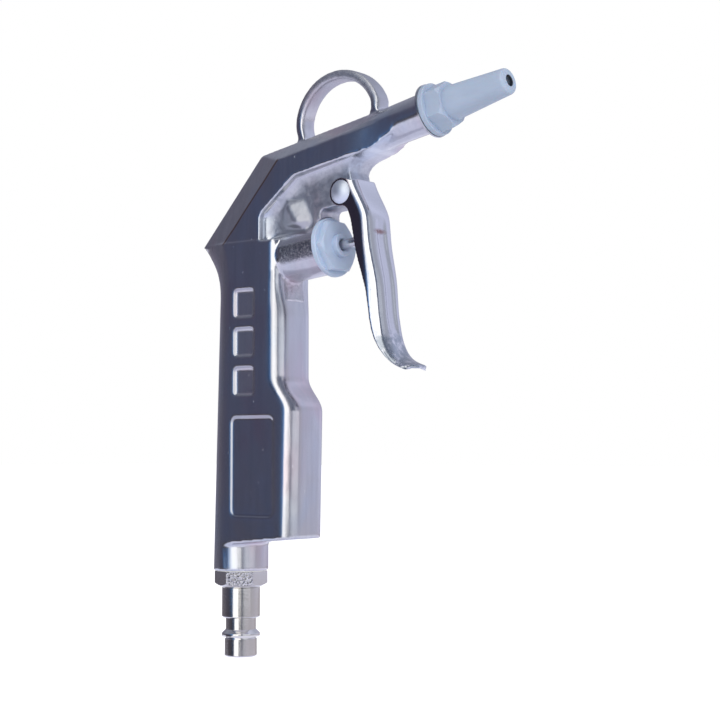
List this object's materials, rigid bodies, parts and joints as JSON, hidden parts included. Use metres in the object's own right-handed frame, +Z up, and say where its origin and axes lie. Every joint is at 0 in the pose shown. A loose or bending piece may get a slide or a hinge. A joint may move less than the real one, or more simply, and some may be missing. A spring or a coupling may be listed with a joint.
{
  "type": "pneumatic air duster",
  "caption": "Straight-grip metal air blow gun with squeeze lever, plastic nozzle, hanging hook and quick-connect inlet plug.",
  "frame": {"origin": "centre of the inlet plug's lower end, on the plug's axis", "axes": "+Z up the inlet plug's axis, +X to the front where the lever and nozzle are, y = 0 the plane of symmetry"},
  "size_m": [0.1162, 0.0184, 0.1811],
  "materials": {
    "casting": "die-cast aluminium, polished to a soft mirror with rounded edges",
    "plated_steel": "turned steel, nickel plated and bright",
    "ptfe": "white fluoropolymer",
    "grey_plastic": "moulded grey-blue plastic, satin gloss",
    "washer_steel": "zinc-plated steel",
    "seal_rubber": "black rubber",
    "brass_parts": "turned brass",
    "stem_steel": "ground stainless steel",
    "spring_steel": "stainless spring wire",
    "lever_steel": "pressed steel sheet, bright plated",
    "pin_steel": "steel rivet, bright"
  },
  "bodies": {
    "gun": {"body": "casting", "inlet_plug": "plated_steel", "inlet_seal": "ptfe", "nozzle": "grey_plastic", "nozzle_washer": "washer_steel", "nozzle_seal": "seal_rubber", "valve_plug": "grey_plastic", "flange_seal": "seal_rubber", "sleeve_seal": "seal_rubber", "stem_seal": "seal_rubber", "seal_keeper": "brass_parts", "valve_spring": "spring_steel", "pivot_pin": "pin_steel"},
    "lever": {"lever": "lever_steel"},
    "stem": {"valve_stem": "stem_steel", "valve_head": "brass_parts", "valve_face": "seal_rubber"}
  },
  "joints": [
    {"name": "lever_squeeze", "type": "hinge", "parent": "gun", "child": "lever", "pos_m": [0.0459, 0, 0.1426], "axis": [0, 1, 0], "range_deg": [0, 10], "stiffness_Nm_per_rad": 0.307, "springref_deg": -16.04},
    {"name": "stem_slide", "type": "slide", "parent": "gun", "child": "stem", "axis": [-0.9936, 0, -0.1132], "range_m": [0, 0.0026], "deforming": ["valve_spring"]}
  ],
  "couplings": [
    {"joint": "stem_slide", "follows": "lever_squeeze", "m_per_rad": 0.0143}
  ]
}
